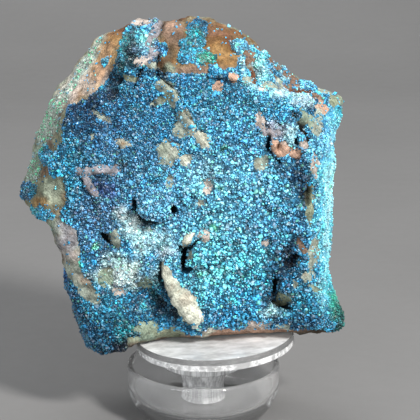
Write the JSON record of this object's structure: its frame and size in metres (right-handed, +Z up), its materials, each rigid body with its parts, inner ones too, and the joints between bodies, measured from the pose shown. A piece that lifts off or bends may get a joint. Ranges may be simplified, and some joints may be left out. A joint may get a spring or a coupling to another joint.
{
  "type": "mineral specimen",
  "caption": "Cornetite specimen: a slab of rusty host rock with a sparkling blue crystal crust on its front, resting on a small clear display stand.",
  "frame": {"origin": "centre of the stand's foot, on the surface it stands on", "axes": "+Z up; -Y towards the viewer of the crystal face; +X to that viewer's right"},
  "size_m": [0.0674, 0.0328, 0.0831],
  "materials": {
    "host_rock": "rough broken host rock, brown and ochre with grey-green and pinkish faces",
    "cornetite": "druse of tiny glassy crystals, deep blue to sky blue with green specks",
    "clear_acrylic": "clear moulded plastic with polished and turned faces"
  },
  "bodies": {
    "root": {"host_rock": "host_rock", "cornetite_crust": "cornetite", "crystal_tuft_top": "cornetite", "crystal_tuft_ledge": "cornetite", "crystal_tuft_shoulder": "cornetite", "crystal_tuft_cheek": "cornetite", "crystal_tuft_left": "cornetite", "crystal_tuft_chin": "cornetite", "stand_plate": "clear_acrylic", "stand_post": "clear_acrylic", "stand_dish": "clear_acrylic"}
  },
  "joints": []
}
